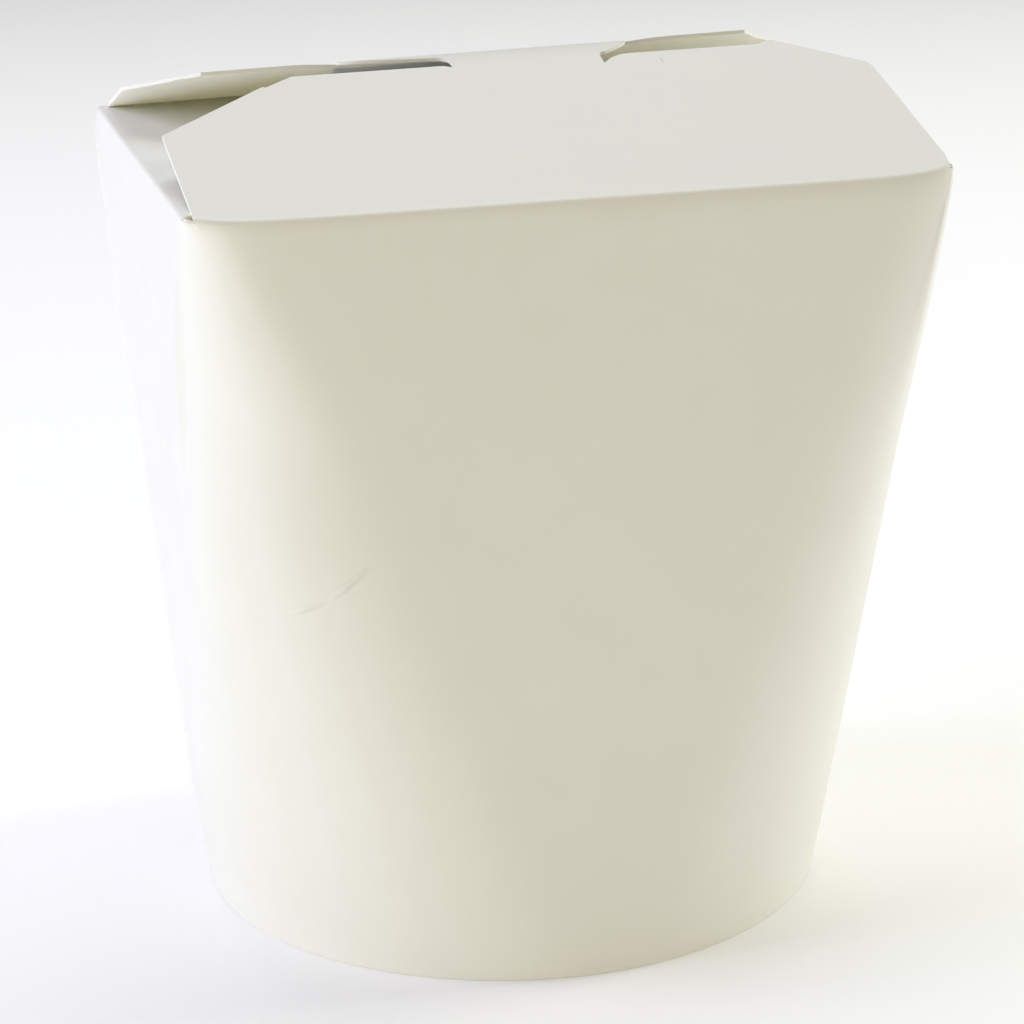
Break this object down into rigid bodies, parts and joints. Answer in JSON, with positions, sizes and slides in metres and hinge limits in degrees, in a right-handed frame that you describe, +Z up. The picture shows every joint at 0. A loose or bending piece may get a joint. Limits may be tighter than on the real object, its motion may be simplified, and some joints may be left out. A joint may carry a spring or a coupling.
{
  "type": "noodle takeaway box",
  "caption": "Folded paperboard food carton with a round foot, a square top and two sloping flaps locked by a tongue at the ridge.",
  "frame": {"origin": "middle of the round foot, at the level the box stands on", "axes": "+Z up, -Y the front, whose flap ends in the tongue, +X to the right seen from the front"},
  "size_m": [0.1, 0.0908, 0.1186],
  "materials": {
    "white_board": "satin coated white paperboard",
    "base_board": "matt white paperboard"
  },
  "bodies": {
    "root": {"carton": "white_board", "base_disc": "base_board"}
  },
  "joints": []
}
